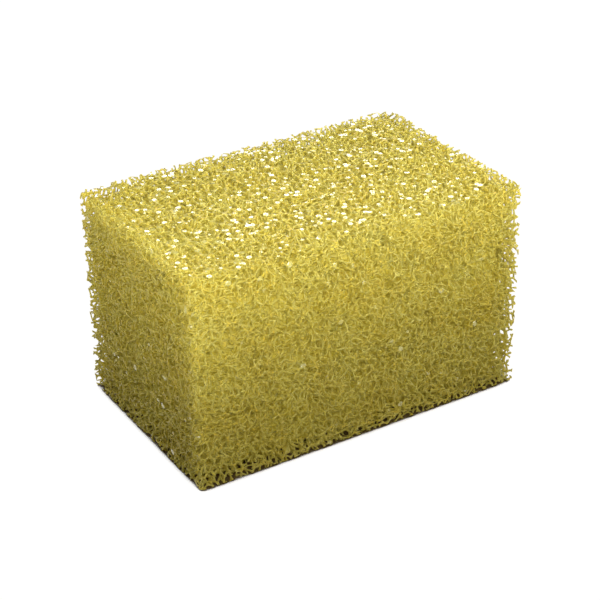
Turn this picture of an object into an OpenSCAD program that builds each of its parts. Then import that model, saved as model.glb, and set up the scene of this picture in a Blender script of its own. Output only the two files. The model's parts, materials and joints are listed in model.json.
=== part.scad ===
// Cleaning sponge: one block of coarse open-cell foam, cut square on all six sides.
// Each cut face is a net of strut ends, laid like brickwork, with an open six-sided cell sunk inside each mesh.

/* [Block] */
// Length of the block, left end to right end
block_length = 128; // [100:1:160]
// Width of the block, front face to back face
block_width = 80; // [60:1:100]
// Height of the block as it rests
block_height = 78; // [50:1:98]

/* [Open cells] */
// Width of a cell, from wall to wall along its row
cell_width = 5.8; // [5:0.1:12]
// Height of a row of cells
row_height = 5.1; // [4.3:0.1:12]
// Depth of the shallowest cell below the cut face
cell_depth_least = 5.5; // [1:0.1:6]
// Depth of the deepest cell below the cut face
cell_depth_most = 8.5; // [6:0.1:10]
// How far a strut end strays along the face, as a share of the spacing
strut_stray = 0.2; // [0:0.01:0.24]
// How far a cell's floor strays from its middle, as a share of the spacing
floor_stray = 0.1; // [0:0.01:0.12]

/* [Cut and wear] */
// Share of the strut ends that reach the cut face, where the rest are torn off below it
ends_at_cut = 0.5; // [0.1:0.05:0.95]
// Greatest depth of a torn strut end below the cut face
tear_depth = 1.4; // [0:0.1:1.8]
// Greatest depth to which the edges and corners of the block are rubbed away
edge_wear = 0.9; // [0:0.1:1]

/* [Underside] */
// Share of the cells on the underside that the cut left shut, flat on the bench
shut_cells = 0.2; // [0:0.05:0.6]

/* [Hidden] */

X = 0;
Y = 1;
Z = 2;
block = [block_length, block_width, block_height];
corner = [-block_length / 2, -block_width / 2, 0];
// Struts end at lattice places: every half cell along X and Y, and every row up Z
steps = [
    2 * round(block_length / cell_width),
    2 * round(block_width / cell_width),
    round(block_height / row_height)
];
step = [for (axis = [X:Z]) block[axis] / steps[axis]];
// On a face square to an axis, rows run along the first of these axes and are stacked along the second
row_axis = [Y, X, X];
stack_axis = [Z, Z, Y];
// Lattice steps from one row to the next
row_steps = [1, 1, 2];
// A regular six-sided cell's row line zigzags by this share of the row's height
zigzag = 1 / 6;
// A cell beside an edge of the block is no deeper than this share of its distance from that edge
edge_cell_slope = 0.63;

// A number from 0 to 1 that looks random and is always the same for one place and purpose
function chance(place, purpose) =
    let (mixed = sin(place[X] * 127.1 + place[Y] * 311.7 + place[Z] * 74.7 + purpose * 53.3) * 43758.5453)
    mixed - floor(mixed);

// The same, from -1 to 1
function sway(place, purpose) = 2 * chance(place, purpose) - 1;

// Which way is into the block at a lattice place, along one axis: 0 where the place isn't on a face square to it
function inward(place, axis) = place[axis] == 0 ? 1 : place[axis] == steps[axis] ? -1 : 0;

// How many faces of the block meet at a lattice place: 1 on a face, 2 on an edge, 3 at a corner
function faces_met(place) = len([for (axis = [X:Z]) if (inward(place, axis) != 0) 1]);

// Row lines zigzag between the walls of the row above, which start on it, and those of the row below, which end on it
function row_zigzag(place, axis) =
    let (upright = inward(place, Z) == 0)
    let (row_line = upright ? place[Z] : place[Y] / row_steps[Z])
    let (along_row = upright && inward(place, Y) == 0 ? place[Y] : place[X])
    let (height = upright ? step[Z] : step[Y] * row_steps[Z])
    axis == (upright ? Z : Y) && (upright || faces_met(place) == 1)
        ? zigzag * height * ((along_row + row_line) % 2 == 0 ? 1 : -1)
        : 0;

// Where the strut at a lattice place would end if none were torn off
function even_end(place) = [
    for (axis = [X:Z])
        let (level = corner[axis] + place[axis] * step[axis])
        let (spacing = min(cell_width, row_height))
        inward(place, axis) == 0 ? level + row_zigzag(place, axis) + strut_stray * spacing * sway(place, axis) : level
];

// How far below the cut face a strut ends. The underside's struts all reach it, pressed level by the weight.
function sunk(place, axis) =
    let (torn = tear_depth * max(0, chance(place, 5) - ends_at_cut) / (1 - ends_at_cut))
    axis == Z && place[Z] == 0 ? 0
    : faces_met(place) > 1 ? edge_wear * chance(place, 7)
    : min(torn, edge_cell_slope * from_edge(even_end(place), axis));

// Where the strut at a lattice place ends
function strut_end(place) =
    let (even = even_end(place))
    [for (axis = [X:Z]) even[axis] + (inward(place, axis) == 0 ? 0 : inward(place, axis) * sunk(place, axis))];

// The lattice place u steps along the rows and v steps up the stack, on a face's near (0) or far (1) side
function on_face(axis, side, u, v) = [
    for (a = [X:Z]) a == axis ? side * steps[a] : a == row_axis[axis] ? u : v
];

// The lattice places round one cell, which spans from u0 to u1 in a row
function rim_places(axis, side, row, u0, u1) =
    let (low = row * row_steps[axis])
    let (high = low + row_steps[axis])
    let (last = steps[row_axis[axis]])
    concat(
        [for (u = [u0:u1]) on_face(axis, side, u, low)],
        u1 == last ? [for (v = [low + 1:1:high - 1]) on_face(axis, side, last, v)] : [],
        [for (u = [u1:-1:u0]) on_face(axis, side, u, high)],
        u0 == 0 ? [for (v = [high - 1:-1:low + 1]) on_face(axis, side, 0, v)] : []
    );

// How far a point is from the nearest edge of the block, along the face square to an axis
function from_edge(point, axis) = min([
    for (a = [row_axis[axis], stack_axis[axis]])
        min(point[a] - corner[a], corner[a] + block[a] - point[a])
]);

function sum(values, i = 0) = i == len(values) ? values[0] * 0 : values[i] + sum(values, i + 1);

// The floor of a cell: the middle of its rim, strayed a little, and sunk into the block. Only whole cells are shut.
function cell_floor(axis, side, place, ends) =
    let (middle = sum(ends) / len(ends))
    let (stray = floor_stray * min(cell_width, row_height, from_edge(middle, axis)))
    let (strayed = [for (a = [X:Z]) middle[a] + (a == axis ? 0 : stray * sway(place, 20 + a))])
    let (is_shut = axis == Z && side == 0 && len(ends) == 6 && chance(place, 11) < shut_cells)
    let (wanted = cell_depth_least + (cell_depth_most - cell_depth_least) * chance(place, 9))
    let (depth = is_shut ? 0 : min(wanted, edge_cell_slope * from_edge(strayed, axis)))
    let (face_level = corner[axis] + side * block[axis])
    [for (a = [X:Z]) a == axis ? face_level + (side == 0 ? depth : -depth) : strayed[a]];

// One cell: the strut ends round its rim, and then its floor
function cell(axis, side, row, u0, u1) =
    let (places = rim_places(axis, side, row, u0, u1))
    let (ends = [for (place = places) strut_end(place)])
    concat(ends, [cell_floor(axis, side, places[0], ends)]);

// One cut face: rows of cells, with every second row set half a cell along, so it starts and ends in half a cell
function cut_face(axis, side) =
    let (last = steps[row_axis[axis]])
    let (rows = steps[stack_axis[axis]] / row_steps[axis])
    [
        for (row = [0:rows - 1])
            for (wall = [-(row % 2):2:last - 1])
                cell(axis, side, row, max(0, wall), min(last, wall + 2))
    ];

// A cell's slopes run from its floor, its last point, up to its rim. They are wound clockwise as seen from outside.
function slopes(count, first, turned) = [
    for (k = [0:count - 2])
        let (a = first + k)
        let (b = first + (k + 1) % (count - 1))
        [first + count - 1, turned ? b : a, turned ? a : b]
];

module sponge() {
    sides = [for (axis = [X:Z]) for (side = [0, 1]) [axis, side]];
    cells = [for (s = sides) for (c = cut_face(s[0], s[1])) [c, (s[1] == 1) != (s[0] == Y)]];
    firsts = [for (i = 0, total = 0; i < len(cells); total = total + len(cells[i][0]), i = i + 1) total];
    color("#d2bf52")
    polyhedron(
        points = [for (c = cells) each c[0]],
        faces = [for (i = [0:len(cells) - 1]) each slopes(len(cells[i][0]), firsts[i], cells[i][1])],
        convexity = 6
    );
}

sponge();
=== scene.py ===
"""Open-cell foam for a cleaning sponge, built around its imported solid.

A net of struts, cut off level on all six sides, stands round a rough heart that shows between them.
Thin films close a few of its windows, and small flat skins lie where the knife smeared a strut's end.
"""
import json
import math
import random

import bmesh
import bpy
import numpy as np
from mathutils import Euler, Matrix, Vector, noise

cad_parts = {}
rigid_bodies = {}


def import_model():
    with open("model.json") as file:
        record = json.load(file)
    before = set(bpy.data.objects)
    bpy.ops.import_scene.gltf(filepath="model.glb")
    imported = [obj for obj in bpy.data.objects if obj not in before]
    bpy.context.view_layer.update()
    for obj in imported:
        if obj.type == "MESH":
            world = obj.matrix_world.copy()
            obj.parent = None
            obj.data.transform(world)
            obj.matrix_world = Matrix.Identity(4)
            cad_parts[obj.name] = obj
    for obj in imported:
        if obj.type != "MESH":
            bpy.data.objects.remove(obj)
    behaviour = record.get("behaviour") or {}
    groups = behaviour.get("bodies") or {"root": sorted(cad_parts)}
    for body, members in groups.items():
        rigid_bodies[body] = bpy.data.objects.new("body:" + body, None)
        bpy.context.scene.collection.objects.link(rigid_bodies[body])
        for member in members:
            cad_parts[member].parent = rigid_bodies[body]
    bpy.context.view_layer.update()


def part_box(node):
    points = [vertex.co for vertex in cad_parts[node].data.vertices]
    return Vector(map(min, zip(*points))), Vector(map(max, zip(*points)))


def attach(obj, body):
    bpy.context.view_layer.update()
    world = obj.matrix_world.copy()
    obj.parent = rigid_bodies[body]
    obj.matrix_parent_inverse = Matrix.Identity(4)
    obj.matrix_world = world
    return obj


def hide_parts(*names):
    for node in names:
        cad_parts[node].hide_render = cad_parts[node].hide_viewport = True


bl_info = {
    "name": "Cleaning sponge",
    "version": (1, 0, 0),
    "blender": (4, 5, 0),
    "location": "3D View > Sidebar > Sponge",
    "description": "Net of foam struts, heart and finishes for a block of open-cell foam",
    "category": "Object",
}

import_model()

MM = 0.001
NODE = "sponge"
BODY = "root"
LOW, HIGH = (np.array(corner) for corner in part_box(NODE))
X, Y, Z = 0, 1, 2
# Each cut side: the axis that it is square to, and which way it faces
SIDES = {
    "left": (X, -1),
    "right": (X, 1),
    "front": (Y, -1),
    "back": (Y, 1),
    "under": (Z, -1),
    "top": (Z, 1),
}
SIDE_NAMES = list(SIDES)
# The foam's cells lie askew to the cut sides, so that no row of them runs along a side
SKEW = Euler((0.49, 0.33, 0.61))
# How many pitches across the swells are that move whole rows of cells, and those that move single struts
DRIFT_SPREAD, JITTER_SPREAD = 4.0, 0.8
# A fine strut's radius half way along it, and what it gains by its ends, as shares of the strut radius
WAIST, FLARE = 0.9, 0.55
# The even radius of a deep strut, as a share of the strut radius
DEEP_RADIUS = 1.15
FILM_THICKNESS = 0.06 * MM
# Films lie no deeper under a side than this, in pitches
FILM_DEPTH = 0.6
SMEAR_THICKNESS = 0.14 * MM
# The smallest smear's radius, and how much larger the largest one is
SMEAR_RADIUS, SMEAR_GROWTH = 0.4 * MM, 0.9 * MM
# How far smears lean from the cut as a rule, in degrees
SMEAR_LEAN = 3
# Smears keep this far from the other sides, so that none hangs over an edge
SMEAR_MARGIN = 1.4 * MM
# The heart starts at this share of the net's depth, so that no gap shows between them
HEART_START = 0.92
# How wide the rounding along the heart's edges is
HEART_ROUNDING = 3 * MM
# How far apart the heart's pits are, in pitches
HEART_PITS = 0.8
# How wide the patches are over which the foam's colour changes
PATCHES = 14 * MM
# Each lamp's place, the point that it faces, its width and height, and the angle that its light spreads over
LAMPS = {
    "front": ((0.065, -0.16, 0.2), (0.03, 0.0, 0.04), (0.34, 0.12), 180),
    "brim": ((0.04, -0.125, 0.15), (0.04, 0.0, 0.105), (0.34, 0.08), 90),
    "left": ((-0.24, 0.0, 0.11), (0.0, 0.0, 0.11), (0.3, 0.06), 75),
    "back": ((0.47, 0.77, 0.52), (0.0, 0.0, 0.08), (0.36, 0.24), 180),
}


class FoamSettings(bpy.types.PropertyGroup):
    """Sizes of the foam's cells, struts and heart."""

    pitch: bpy.props.FloatProperty(
        name="Cell pitch",
        description="Distance between the foam's cells, across their square windows",
        default=3.9 * MM,
        unit="LENGTH",
    )
    depth: bpy.props.FloatProperty(
        name="Net depth",
        description="How deep the net of struts is under a side",
        default=4.4 * MM,
        unit="LENGTH",
    )
    under_depth: bpy.props.FloatProperty(
        name="Net depth under the block",
        description="How deep the net of struts is over the underside",
        default=2.2 * MM,
        unit="LENGTH",
    )
    strut: bpy.props.FloatProperty(
        name="Strut radius",
        description="About how far a strut's corners are from its middle line",
        default=0.36 * MM,
        unit="LENGTH",
    )
    fine_depth: bpy.props.FloatProperty(
        name="Fine depth",
        description="Depth to which the struts are waisted, where deeper ones are even",
        default=0.8 * MM,
        unit="LENGTH",
    )
    drift: bpy.props.FloatProperty(
        name="Drift",
        description="Width of the band in which the cells' rows wander, in pitches",
        default=1.6,
    )
    jitter: bpy.props.FloatProperty(
        name="Jitter",
        description="Width of the band in which a strut's end strays, in pitches",
        default=0.95,
    )
    films: bpy.props.FloatProperty(
        name="Films",
        description="Share of the outer cells' small windows that a thin film still closes",
        default=0.05,
        subtype="FACTOR",
    )
    smears: bpy.props.FloatProperty(
        name="Smears",
        description="Share of the top's cut strut ends that the knife smeared into a small flat skin",
        default=0.2,
        subtype="FACTOR",
    )
    side_smears: bpy.props.FloatProperty(
        name="Smears on the sides",
        description="How many of the upright sides' strut ends are smeared, as a share of the top's",
        default=0.05,
        subtype="FACTOR",
    )
    heart_step: bpy.props.FloatProperty(
        name="Heart step",
        description="About how long the edges of the heart's mesh are",
        default=1.2 * MM,
        unit="LENGTH",
    )
    heart_relief: bpy.props.FloatProperty(
        name="Heart relief",
        description="How deep the heart's pits are, in pitches",
        default=0.55,
    )
    foot_wear: bpy.props.FloatProperty(
        name="Foot wear",
        description="How far the block's lowest edges are rubbed off",
        default=0.8 * MM,
        unit="LENGTH",
    )
    seed: bpy.props.IntProperty(name="Seed", description="Seed of every random draw", default=7)


class FinishSettings(bpy.types.PropertyGroup):
    """Colours of the foam."""

    strut: bpy.props.FloatVectorProperty(
        name="Struts",
        description="Colour of the struts",
        default=(0.87, 0.825, 0.27),
        subtype="COLOR",
    )
    ripe: bpy.props.FloatVectorProperty(
        name="Struts, deeper yellow",
        description="Colour that the struts drift to from place to place",
        default=(0.84, 0.73, 0.11),
        subtype="COLOR",
    )
    heart: bpy.props.FloatVectorProperty(
        name="Heart",
        description="Colour of the foam seen deep between the struts",
        default=(0.9, 0.79, 0.16),
        subtype="COLOR",
    )


class StudioSettings(bpy.types.PropertyGroup):
    """Camera and lamps."""

    azimuth: bpy.props.FloatProperty(
        name="Azimuth",
        description="Camera's turn about the block",
        default=math.radians(-31.12),
        unit="ROTATION",
    )
    elevation: bpy.props.FloatProperty(
        name="Elevation",
        description="Camera's height as an angle",
        default=math.radians(29.32),
        unit="ROTATION",
    )
    roll: bpy.props.FloatProperty(
        name="Roll",
        description="Camera's turn about its own axis",
        default=math.radians(-0.93),
        unit="ROTATION",
    )
    distance: bpy.props.FloatProperty(
        name="Distance",
        description="Camera's distance from the middle of the block's foot",
        default=0.6255,
        unit="LENGTH",
    )
    across: bpy.props.FloatProperty(
        name="Across",
        description="How far right of the block's foot the camera aims",
        default=-0.0007,
        unit="LENGTH",
    )
    above: bpy.props.FloatProperty(
        name="Above",
        description="How far above the block's foot the camera aims",
        default=0.0299,
        unit="LENGTH",
    )
    lens: bpy.props.FloatProperty(
        name="Lens",
        description="Focal length on a 36 mm sensor, in mm",
        default=103.5,
        unit="CAMERA",
    )
    front: bpy.props.FloatProperty(
        name="Front lamp",
        description="Power of the lamp over the front face, in watts",
        default=0.162,
        unit="POWER",
    )
    brim: bpy.props.FloatProperty(
        name="Brim lamp",
        description="Power of the lamp close to the front face's upper edge, in watts",
        default=0.162,
        unit="POWER",
    )
    left: bpy.props.FloatProperty(
        name="Left lamp",
        description="Power of the lamp to the left, in watts",
        default=0.067,
        unit="POWER",
    )
    back: bpy.props.FloatProperty(
        name="Back lamp",
        description="Power of the lamp behind, which the top mirrors, in watts",
        default=1.6,
        unit="POWER",
    )
    sky: bpy.props.FloatProperty(
        name="Sky",
        description="Strength of the light from all round",
        default=0.08,
    )


class Value:
    """A node's output. Python's arithmetic on it adds the Math node that does the same."""

    def __init__(self, net, socket):
        self.net = net
        self.socket = socket

    def _math(self, operation, *values):
        sockets = dict(enumerate(values))
        return self.net.value("ShaderNodeMath", {"operation": operation}, sockets)

    def __add__(self, other):
        return self._math("ADD", self, other)

    __radd__ = __add__

    def __sub__(self, other):
        return self._math("SUBTRACT", self, other)

    def __rsub__(self, other):
        return self._math("SUBTRACT", other, self)

    def __mul__(self, other):
        return self._math("MULTIPLY", self, other)

    __rmul__ = __mul__

    def __pow__(self, other):
        return self._math("POWER", self, other)

    def clipped(self):
        """The value kept from 0 to 1."""
        return self._math("MINIMUM", self._math("MAXIMUM", self, 0.0), 1.0)


class Net:
    """A node tree, and the one way in which nodes are added to it."""

    def __init__(self, tree):
        self.tree = tree

    def node(self, kind, settings=None, sockets=None):
        """A new node of that type. Its settings come first, and then the values or links of its sockets."""
        made = self.tree.nodes.new(kind)
        for name, value in (settings or {}).items():
            setattr(made, name, value)
        for name, value in (sockets or {}).items():
            if isinstance(value, Value):
                self.tree.links.new(value.socket, made.inputs[name])
            else:
                made.inputs[name].default_value = value
        return made

    def value(self, kind, settings=None, sockets=None, output=0):
        """One output of a new node."""
        return Value(self, self.node(kind, settings, sockets).outputs[output])


def geometry_net(name):
    """An empty geometry tree with one geometry in and one out, and its input."""
    tree = bpy.data.node_groups.new(name, "GeometryNodeTree")
    tree.interface.new_socket("Geometry", in_out="INPUT", socket_type="NodeSocketGeometry")
    tree.interface.new_socket("Geometry", in_out="OUTPUT", socket_type="NodeSocketGeometry")
    net = Net(tree)
    return net, net.value("NodeGroupInput")


def run(net, result, mesh, name):
    """The mesh that the tree makes of a mesh, as a new mesh."""
    net.node("NodeGroupOutput", sockets={0: result})
    holder = bpy.data.objects.new(name, mesh)
    bpy.context.scene.collection.objects.link(holder)
    holder.modifiers.new(name, "NODES").node_group = net.tree
    done = holder.evaluated_get(bpy.context.evaluated_depsgraph_get())
    made = bpy.data.meshes.new_from_object(done)
    bpy.data.objects.remove(holder)
    bpy.data.node_groups.remove(net.tree)
    return made


def numbers(items, field, width, kind=np.float32):
    """One field of every vertex or edge, as an array."""
    found = np.empty(len(items) * width, kind)
    items.foreach_get(field, found)
    return found.reshape(-1, width)


def depths(points):
    """How far each point lies inside each cut side, in the order of SIDES."""
    inward = [
        points[:, axis] - LOW[axis] if way < 0 else HIGH[axis] - points[:, axis]
        for axis, way in SIDES.values()
    ]
    return np.stack(inward, 1)


def net_depths(foam):
    """How deep the net is under each side, in the order of SIDES."""
    return np.array([foam.under_depth if side == "under" else foam.depth for side in SIDES])


def foam_cell(pitch):
    """One even cell with 8 six-sided and 6 square windows: an eight-sided diamond with its corners cut off.

    They are cut off at a third of their edges, so the square windows lie at two thirds of the radius.
    """
    bm = bmesh.new()
    bmesh.ops.create_uvsphere(bm, u_segments=4, v_segments=2, radius=0.75 * pitch)
    bmesh.ops.bevel(
        bm,
        geom=bm.verts[:],
        offset=100 / 3,
        offset_type="PERCENT",
        affect="VERTICES",
        segments=1,
        profile=0.5,
        material=-1,
    )
    cell = bpy.data.meshes.new("cell")
    bm.to_mesh(cell)
    bm.free()
    return cell


def cell_centres(foam):
    """The middles of the cells in the net, on a lattice with a second one set half way between its points."""
    reach = int(np.linalg.norm(HIGH - LOW) / foam.pitch / 2) + 2
    steps = np.arange(-reach, reach + 1)
    lattice = np.stack(np.meshgrid(steps, steps, steps, indexing="ij"), -1).reshape(-1, 3)
    lattice = np.concatenate([lattice, lattice + 0.5]) * foam.pitch
    centres = lattice @ np.array(SKEW.to_matrix()).T + (LOW + HIGH) / 2
    # A cell this far outside the net may still reach it once its row has wandered
    margin = (1.0 + 0.5 * foam.drift) * foam.pitch
    inside = depths(centres)
    wanted = (inside.min(1) > -margin) & (inside < net_depths(foam) + margin).any(1)
    return centres[wanted]


def foam_windows(foam):
    """The foam's windows before any cut: the cells' faces, joined where cells meet, and made uneven."""
    cloud = bpy.data.meshes.new("centres")
    centres = cell_centres(foam)
    cloud.vertices.add(len(centres))
    cloud.vertices.foreach_set("co", centres.astype(np.float32).ravel())
    cell = bpy.data.objects.new("cell", foam_cell(foam.pitch))
    net, points = geometry_net("windows")
    shape = net.value(
        "GeometryNodeObjectInfo",
        sockets={"Object": cell, "As Instance": True},
        output="Geometry",
    )
    cells = net.value(
        "GeometryNodeInstanceOnPoints",
        sockets={"Points": points, "Instance": shape, "Rotation": SKEW},
    )
    whole = net.value("GeometryNodeRealizeInstances", sockets={"Geometry": cells})
    joined = net.value(
        "GeometryNodeMergeByDistance",
        sockets={"Geometry": whole, "Distance": 0.05 * foam.pitch},
    )
    place = net.value("GeometryNodeInputPosition")
    for spread, amount in ((DRIFT_SPREAD, foam.drift), (JITTER_SPREAD, foam.jitter)):
        stray = net.value(
            "ShaderNodeTexNoise",
            sockets={"Vector": place, "Scale": 1 / (spread * foam.pitch), "Detail": 0.0},
            output="Color",
        )
        stray = net.value("ShaderNodeVectorMath", {"operation": "SUBTRACT"}, {0: stray, 1: (0.5, 0.5, 0.5)})
        reach = amount * foam.pitch
        stray = net.value("ShaderNodeVectorMath", {"operation": "SCALE"}, {0: stray, "Scale": reach})
        joined = net.value("GeometryNodeSetPosition", sockets={"Geometry": joined, "Offset": stray})
    made = run(net, joined, cloud, "windows")
    bpy.data.objects.remove(cell)
    return made


def mark_struts(windows, foam):
    """Writes on each edge which side's net it belongs to, or -1, and whether it lies near that side's cut."""
    ends = numbers(windows.vertices, "co", 3)[numbers(windows.edges, "vertices", 2, np.int32)]
    middle = depths(ends.mean(1))
    nearest = (middle / net_depths(foam)).argmin(1)
    deep = middle[np.arange(len(middle)), nearest]
    reaches_in = np.maximum(depths(ends[:, 0]).min(1), depths(ends[:, 1]).min(1)) > 0
    kept = reaches_in & (deep < net_depths(foam)[nearest])
    side = np.where(kept, nearest, -1).astype(np.int32)
    windows.attributes.new("side", "INT", "EDGE").data.foreach_set("value", side)
    fine = (deep < foam.fine_depth).astype(np.int32)
    windows.attributes.new("fine", "INT", "EDGE").data.foreach_set("value", fine)


def struts(windows, side, foam):
    """The struts of one side's net, each a closed three-sided bar. Fine ones are thinnest half way along."""
    net, mesh = geometry_net("struts")
    own = net.value("GeometryNodeInputNamedAttribute", {"data_type": "INT"}, {"Name": "side"})
    # Sockets 2 and 3 are the ones for whole numbers
    is_side = net.value("FunctionNodeCompare", {"data_type": "INT", "operation": "EQUAL"}, {2: own, 3: side})
    edges = net.value(
        "GeometryNodeSeparateGeometry",
        {"domain": "EDGE"},
        {"Geometry": mesh, "Selection": is_side},
    )
    lines = net.value("GeometryNodeMeshToCurve", sockets={"Mesh": edges})
    fine = net.value("GeometryNodeInputNamedAttribute", {"data_type": "INT"}, {"Name": "fine"})
    lines = net.value("GeometryNodeSubdivideCurve", sockets={"Curve": lines, "Cuts": fine})
    # From nothing to a third of a full turn, which covers every way that a three-sided bar can lie
    turn = net.value(
        "FunctionNodeRandomValue",
        {"data_type": "FLOAT"},
        {2: 0.0, 3: 2 * math.pi / 3, "Seed": side},
        output=1,
    )
    lines = net.value("GeometryNodeSetCurveTilt", sockets={"Curve": lines, "Tilt": turn})
    along = net.value("GeometryNodeSplineParameter")
    to_end = (along * 2.0 - 1.0) ** 2.0
    thickness = fine * (WAIST + FLARE * to_end) + (1.0 - fine) * DEEP_RADIUS
    outline = net.value(
        "GeometryNodeCurvePrimitiveCircle",
        {"mode": "RADIUS"},
        {"Resolution": 3, "Radius": foam.strut},
    )
    bars = net.value(
        "GeometryNodeCurveToMesh",
        sockets={"Curve": lines, "Profile Curve": outline, "Scale": thickness, "Fill Caps": True},
    )
    return run(net, bars, windows.copy(), "struts")


def outward(axis, way):
    """The direction in which a side faces."""
    direction = Vector((0, 0, 0))
    direction[axis] = way
    return direction


def cuts(foot_wear):
    """Each plane that cuts the block, as a point and the way out: six sides, and four edges at the foot."""
    for axis, way in SIDES.values():
        yield Vector(HIGH if way > 0 else LOW), outward(axis, way)
    for side in ("left", "right", "front", "back"):
        axis, way = SIDES[side]
        foot = Vector((HIGH if way > 0 else LOW)[:2]).to_3d()
        yield foot + Vector((0, 0, foot_wear)), (outward(axis, way) + outward(Z, -1)).normalized()


def cut_square(bm, foam):
    """Cuts a mesh off where the block ends, and closes what the knife opened with flat faces."""
    for point, way_out in cuts(foam.foot_wear):
        cut = bmesh.ops.bisect_plane(
            bm,
            geom=bm.verts[:] + bm.edges[:] + bm.faces[:],
            dist=1e-9,
            plane_co=point,
            plane_no=way_out,
            clear_outer=True,
        )
        rims = [item for item in cut["geom_cut"] if isinstance(item, bmesh.types.BMEdge)]
        # The quick operator fills every rim or, where one is odd, none. The slow one fills them one by one.
        ends = bmesh.ops.edgeloop_fill(bm, edges=rims)["faces"]
        ends = ends or bmesh.ops.holes_fill(bm, edges=rims)["faces"]
        for face in ends:
            face.smooth = False


def add_piece(name, mesh, material):
    """Makes a mesh a foam piece of the sponge, which rides on its body and stands for its solid."""
    piece = bpy.data.objects.new(name, mesh)
    bpy.context.scene.collection.objects.link(piece)
    mesh.materials.clear()
    mesh.materials.append(material)
    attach(piece, BODY)
    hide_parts(NODE)
    return piece


def new_material(name):
    """A material with nothing in it yet, and its net."""
    material = bpy.data.materials.new(name)
    material.use_nodes = True
    material.node_tree.nodes.clear()
    return material, Net(material.node_tree)


def finish_surface(net, sockets, scatters=0.0, lets_through=0.0):
    """Ends a material in one Principled shader.

    Thin foam also scatters a share of the light from behind, and lets a share of it pass without a shadow.
    """
    shader = net.value("ShaderNodeBsdfPrincipled", sockets=sockets)
    if scatters:
        behind = net.value("ShaderNodeBsdfTranslucent", sockets={"Color": sockets["Base Color"]})
        shader = net.value("ShaderNodeMixShader", sockets={0: scatters, 1: shader, 2: behind})
    if lets_through:
        clear = net.value("ShaderNodeBsdfTransparent")
        path = net.node("ShaderNodeLightPath")
        through = Value(net, path.outputs["Is Shadow Ray"]) * lets_through
        shader = net.value("ShaderNodeMixShader", sockets={0: through, 1: shader, 2: clear})
    net.node("ShaderNodeOutputMaterial", sockets={"Surface": shader})


def mixed(net, factor, first, second):
    """Two colours mixed by a factor. The Mix node's sockets for colours are 6 and 7."""
    sockets = {"Factor": factor, 6: first, 7: second}
    return net.value("ShaderNodeMix", {"data_type": "RGBA", "clamp_factor": True}, sockets, output=2)


def clouds(net, spread):
    """Soft noise from 0 to 1 whose patches are about that many metres across."""
    place = net.value("ShaderNodeTexCoord", output="Object")
    return net.value("ShaderNodeTexNoise", sockets={"Vector": place, "Scale": 1 / spread, "Detail": 2.0})


def strut_colour(net, finish, foam):
    """Yellow, uneven from cell to cell and over the block."""
    # Both noises are spread out from their middle, because they seldom come near 0 or 1
    patches = (clouds(net, PATCHES) - 0.5) * 1.6 + 0.5
    grain = (clouds(net, 0.6 * foam.pitch) - 0.5) * 1.8 + 0.5
    mix = (patches * 0.5 + grain * 0.5).clipped()
    return mixed(net, mix, (*finish.strut, 1.0), (*finish.ripe, 1.0))


def strut_material(finish, foam):
    """Satin bars, smoother in some places than in others."""
    material, net = new_material("foam struts")
    colour = strut_colour(net, finish, foam)
    gloss = 0.4 + 0.25 * clouds(net, foam.pitch)
    finish_surface(
        net,
        {
            "Base Color": colour,
            "Roughness": gloss.clipped(),
            "IOR": 1.5,
            "Coat Weight": 1.0,
            "Coat Roughness": 0.42,
        },
        scatters=0.45,
        lets_through=0.92,
    )
    return material


def heart_material(finish, foam):
    """Deep foam: a net of painted struts over cells that are darker in some places than in others."""
    material, net = new_material("foam heart")
    place = net.value("ShaderNodeTexCoord", output="Object")
    walls = net.value(
        "ShaderNodeTexVoronoi",
        {"feature": "DISTANCE_TO_EDGE"},
        {"Vector": place, "Scale": 1 / (0.7 * foam.pitch)},
    )
    # A painted strut fades out at a fifth of a cell from where two cells meet
    strut = (1.0 - walls * 5.0).clipped()
    patches = clouds(net, PATCHES)
    deep = mixed(net, patches, (*finish.heart, 1.0), tuple(0.7 * c for c in finish.heart) + (1.0,))
    colour = mixed(net, strut, deep, (*finish.ripe, 1.0))
    bump = net.value(
        "ShaderNodeBump",
        sockets={"Strength": 0.8, "Distance": 0.6 * MM, "Height": strut},
    )
    finish_surface(net, {"Base Color": colour, "Roughness": 0.6, "Normal": bump})
    return material


def film_material(name, finish, foam):
    """Thin shiny skin of the struts' own colour, left in a window or smeared flat by the knife."""
    material, net = new_material(name)
    colour = strut_colour(net, finish, foam)
    gloss = 0.12 + 0.15 * clouds(net, 2 * MM)
    sockets = {"Base Color": colour, "Roughness": gloss, "Coat Weight": 1.0, "Coat IOR": 1.9}
    finish_surface(net, sockets, scatters=0.15, lets_through=0.85)
    return material


class SPONGE_OT_struts(bpy.types.Operator):
    """Model the net of struts under each cut side"""

    bl_idname = "sponge.struts"
    bl_label = "Foam struts"

    def execute(self, context):
        foam = context.scene.sponge_foam
        windows = foam_windows(foam)
        mark_struts(windows, foam)
        material = strut_material(context.scene.sponge_finish, foam)
        for index, side in enumerate(SIDES):
            mesh = struts(windows, index, foam)
            mesh.shade_smooth()
            bm = bmesh.new()
            bm.from_mesh(mesh)
            cut_square(bm, foam)
            bm.to_mesh(mesh)
            bm.free()
            add_piece(f"struts_{side}", mesh, material)
        bpy.data.meshes.remove(windows)
        return {"FINISHED"}


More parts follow.
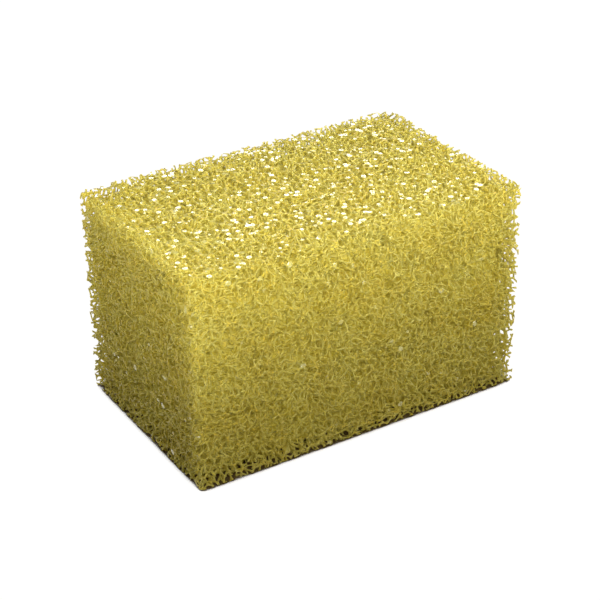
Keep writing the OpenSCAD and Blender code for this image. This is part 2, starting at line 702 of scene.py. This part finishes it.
class SPONGE_OT_films(bpy.types.Operator):
    """Close some of the outer cells' square windows with a thin film"""

    bl_idname = "sponge.films"
    bl_label = "Foam films"

    def execute(self, context):
        foam = context.scene.sponge_foam
        windows = foam_windows(foam)
        draw = random.Random(foam.seed)
        bm = bmesh.new()
        bm.from_mesh(windows)
        bpy.data.meshes.remove(windows)
        bare = [face for face in bm.faces if not self.keeps(face, draw, foam)]
        bmesh.ops.delete(bm, geom=bare, context="FACES")
        bmesh.ops.solidify(bm, geom=bm.faces[:], thickness=FILM_THICKNESS)
        cut_square(bm, foam)
        mesh = bpy.data.meshes.new("films")
        bm.to_mesh(mesh)
        bm.free()
        add_piece("films", mesh, film_material("foam films", context.scene.sponge_finish, foam))
        return {"FINISHED"}

    @staticmethod
    def keeps(face, draw, foam):
        """A window keeps its film by chance, if it is a small one near a side other than the underside."""
        if len(face.verts) != 4 or draw.random() > foam.films:
            return False
        inside = depths(np.array([face.calc_center_median()]))[0]
        is_near_cut = 0 < inside.min() < FILM_DEPTH * foam.pitch
        return is_near_cut and inside[SIDE_NAMES.index("under")] > foam.pitch


class SPONGE_OT_smears(bpy.types.Operator):
    """Lay small flat skins where the knife smeared strut ends, most of them on the top"""

    bl_idname = "sponge.smears"
    bl_label = "Foam smears"

    def execute(self, context):
        foam = context.scene.sponge_foam
        draw = random.Random(foam.seed)
        drop = self.drop()
        bm = bmesh.new()
        for side, (axis, way) in SIDES.items():
            share = {"top": 1.0, "under": 0.0}.get(side, foam.side_smears) * foam.smears
            ends = self.cut_ends(side)
            for end in draw.sample(ends, int(share * len(ends))):
                lying = drop.copy()
                lying.transform(self.lie(end, axis, way, draw))
                bm.from_mesh(lying)
                bpy.data.meshes.remove(lying)
        mesh = bpy.data.meshes.new("smears")
        bm.to_mesh(mesh)
        bm.free()
        add_piece("smears", mesh, film_material("foam smears", context.scene.sponge_finish, foam))
        return {"FINISHED"}

    @staticmethod
    def cut_ends(side):
        """The middles of one side's cut strut ends, but for those beside an edge of the block."""
        faces = bpy.data.objects[f"struts_{side}"].data.polygons
        inside = depths(numbers(faces, "center", 3))
        own = SIDE_NAMES.index(side)
        in_cut = np.abs(inside[:, own]) < 1e-6
        inland = np.delete(inside, own, 1).min(1) > SMEAR_MARGIN
        found = zip(faces, in_cut & inland)
        return [face.center.copy() for face, is_end in found if is_end and not face.use_smooth]

    @staticmethod
    def drop():
        """A flat drop one unit in radius and height, a little narrower at its upper face."""
        bm = bmesh.new()
        bmesh.ops.create_cone(bm, cap_ends=True, segments=6, radius1=1, radius2=0.8, depth=1)
        mesh = bpy.data.meshes.new("drop")
        bm.to_mesh(mesh)
        bm.free()
        return mesh

    @staticmethod
    def lie(end, axis, way, draw):
        """How a drop lies over a cut strut end: sunk a little, and nearly level with the cut."""
        out = outward(axis, way)
        lean = [math.radians(draw.gauss(0, SMEAR_LEAN)) for _ in range(2)]
        turn = Euler(lean + [draw.uniform(0, math.tau)]).to_matrix().to_4x4()
        face = out.to_track_quat("Z", "Y").to_matrix().to_4x4()
        size = SMEAR_RADIUS + SMEAR_GROWTH * draw.random() ** 2
        shape = Matrix.Diagonal((size, size * draw.uniform(0.8, 1.0), SMEAR_THICKNESS, 1.0))
        return Matrix.Translation(Vector(end) - out * SMEAR_THICKNESS * 0.6) @ face @ turn @ shape


class SPONGE_OT_heart(bpy.types.Operator):
    """Model the rough heart that shows deep between the struts"""

    bl_idname = "sponge.heart"
    bl_label = "Foam heart"

    def execute(self, context):
        foam = context.scene.sponge_foam
        inset, under_inset = HEART_START * foam.depth, HEART_START * foam.under_depth
        low = Vector(LOW) + Vector((inset, inset, under_inset))
        high = Vector(HIGH) - Vector((inset, inset, inset))
        bm = bmesh.new()
        bmesh.ops.create_cube(bm, size=1.0)
        bmesh.ops.scale(bm, vec=high - low, verts=bm.verts)
        bmesh.ops.translate(bm, vec=(low + high) / 2, verts=bm.verts)
        bmesh.ops.bevel(
            bm,
            geom=bm.edges[:],
            offset=HEART_ROUNDING,
            offset_type="OFFSET",
            affect="EDGES",
            segments=3,
            profile=0.5,
            material=-1,
        )
        self.divide(bm, foam.heart_step)
        # A pit is deepest where one noise cell's middle is much nearer than the next one's
        for vert in bm.verts:
            near = noise.voronoi(vert.co / (HEART_PITS * foam.pitch))[0]
            vert.co -= vert.normal * (near[1] - near[0]) * foam.heart_relief * foam.pitch
        mesh = bpy.data.meshes.new("heart")
        bm.to_mesh(mesh)
        bm.free()
        mesh.shade_smooth()
        add_piece("heart", mesh, heart_material(context.scene.sponge_finish, foam))
        return {"FINISHED"}

    @staticmethod
    def divide(bm, step):
        """Splits the long edges until the mesh is about that fine."""
        while True:
            long_edges = [edge for edge in bm.edges if edge.calc_length() > 2 * step]
            if not long_edges:
                break
            bmesh.ops.subdivide_edges(bm, edges=long_edges, cuts=1, use_grid_fill=True)
        bmesh.ops.recalc_face_normals(bm, faces=bm.faces)
        bm.normal_update()


class SPONGE_OT_studio(bpy.types.Operator):
    """Set up the camera, the lamps and the floor"""

    bl_idname = "sponge.studio"
    bl_label = "Studio"

    def execute(self, context):
        studio = context.scene.sponge_studio
        self.place_camera(context, studio)
        self.lay_floor(context)
        for name, (place, aim, size, spread) in LAMPS.items():
            self.hang_lamp(context, name, getattr(studio, name), place, aim, size, spread)
        self.light_room(context, studio)
        context.scene.view_settings.view_transform = "Standard"
        return {"FINISHED"}

    @staticmethod
    def place_camera(context, studio):
        """The camera faces the middle of the block's foot, and is then moved sideways and up."""
        flat = math.cos(studio.elevation)
        back = Vector(
            (math.sin(studio.azimuth) * flat, -math.cos(studio.azimuth) * flat, math.sin(studio.elevation))
        )
        right = Vector((math.cos(studio.azimuth), math.sin(studio.azimuth), 0))
        up = back.cross(right)
        turn = Matrix((right, up, back)).transposed() @ Matrix.Rotation(studio.roll, 3, "Z")
        camera = bpy.data.objects.new("camera", bpy.data.cameras.new("camera"))
        place = back * studio.distance + right * studio.across + up * studio.above
        camera.matrix_world = Matrix.Translation(place) @ turn.to_4x4()
        camera.data.lens = studio.lens
        camera.data.sensor_width = 36
        camera.data.clip_end = 20
        context.scene.collection.objects.link(camera)
        context.scene.camera = camera

    @staticmethod
    def lay_floor(context):
        """A floor that glows white to the eye, with a painted contact shadow close under the block where
        ambient occlusion turns the glow off.
        """
        bm = bmesh.new()
        bmesh.ops.create_grid(bm, x_segments=1, y_segments=1, size=4)
        mesh = bpy.data.meshes.new("floor")
        bm.to_mesh(mesh)
        bm.free()
        floor = bpy.data.objects.new("floor", mesh)
        context.scene.collection.objects.link(floor)
        material, net = new_material("floor")
        # Painted shade: the brown of the dark strip at the block's foot, where the glow is off. It is also
        # the colour of the little light that the floor throws back
        painted_shade_and_bounce_matt = net.value("ShaderNodeBsdfDiffuse", sockets={"Color": (0.14, 0.1, 0.04, 1.0)})
        path = net.node("ShaderNodeLightPath")
        seen = Value(net, path.outputs["Is Camera Ray"]) + Value(net, path.outputs["Is Glossy Ray"])
        seen = (seen + Value(net, path.outputs["Is Transmission Ray"])).clipped()
        open_sky = net.value("ShaderNodeAmbientOcclusion", sockets={"Distance": 12 * MM}, output="AO")
        # White where 54 % or more of the view up is clear of the block, and black from 44 % down: a painted
        # contact shadow taken from ambient occlusion, not from the lamps
        white = (open_sky * 10.0 - 4.4).clipped()
        glow = net.value("ShaderNodeEmission", sockets={"Strength": seen * white})
        both = net.value("ShaderNodeAddShader", sockets={0: painted_shade_and_bounce_matt, 1: glow})
        net.node("ShaderNodeOutputMaterial", sockets={"Surface": both})
        mesh.materials.append(material)

    @staticmethod
    def hang_lamp(context, name, power, place, aim, size, spread):
        """A level soft lamp of that power, set out as a row of LAMPS says."""
        light = bpy.data.lights.new(name, "AREA")
        light.shape = "RECTANGLE"
        light.size, light.size_y = size
        light.energy = power
        light.spread = math.radians(spread)
        lamp = bpy.data.objects.new(name, light)
        way = Vector(aim) - Vector(place)
        lamp.rotation_euler = way.to_track_quat("-Z", "Y").to_euler()
        lamp.location = place
        lamp.visible_camera = False
        context.scene.collection.objects.link(lamp)

    @staticmethod
    def light_room(context, studio):
        """A room that is white to the camera, and lights the block evenly at the sky's strength."""
        world = bpy.data.worlds.new("room")
        world.use_nodes = True
        world.node_tree.nodes.clear()
        net = Net(world.node_tree)
        path = net.node("ShaderNodeLightPath")
        seen = Value(net, path.outputs["Is Camera Ray"])
        strength = seen + (1.0 - seen) * studio.sky
        glow = net.value(
            "ShaderNodeBackground",
            sockets={"Color": (1, 1, 1, 1), "Strength": strength},
        )
        net.node("ShaderNodeOutputWorld", sockets={"Surface": glow})
        context.scene.world = world


class SPONGE_PT_panel(bpy.types.Panel):
    """Buttons that build the sponge, in order"""

    bl_idname = "SPONGE_PT_panel"
    bl_label = "Cleaning sponge"
    bl_space_type = "VIEW_3D"
    bl_region_type = "UI"
    bl_category = "Sponge"

    def draw(self, context):
        for group in SETTINGS:
            settings = getattr(context.scene, group)
            box = self.layout.box()
            for name in settings.__annotations__:
                box.prop(settings, name)
        for step in STEPS:
            self.layout.operator(step.bl_idname)


SETTINGS = {
    "sponge_foam": FoamSettings,
    "sponge_finish": FinishSettings,
    "sponge_studio": StudioSettings,
}
STEPS = (SPONGE_OT_studio, SPONGE_OT_struts, SPONGE_OT_films, SPONGE_OT_smears, SPONGE_OT_heart)


def register():
    for kind in (*SETTINGS.values(), *STEPS, SPONGE_PT_panel):
        bpy.utils.register_class(kind)
    for name, kind in SETTINGS.items():
        setattr(bpy.types.Scene, name, bpy.props.PointerProperty(type=kind))


def unregister():
    for name in SETTINGS:
        delattr(bpy.types.Scene, name)
    for kind in reversed((*SETTINGS.values(), *STEPS, SPONGE_PT_panel)):
        bpy.utils.unregister_class(kind)


def main():
    register()
    bpy.ops.sponge.studio()
    bpy.ops.sponge.struts()
    bpy.ops.sponge.films()
    bpy.ops.sponge.smears()
    bpy.ops.sponge.heart()


if __name__ == "__main__":
    main()
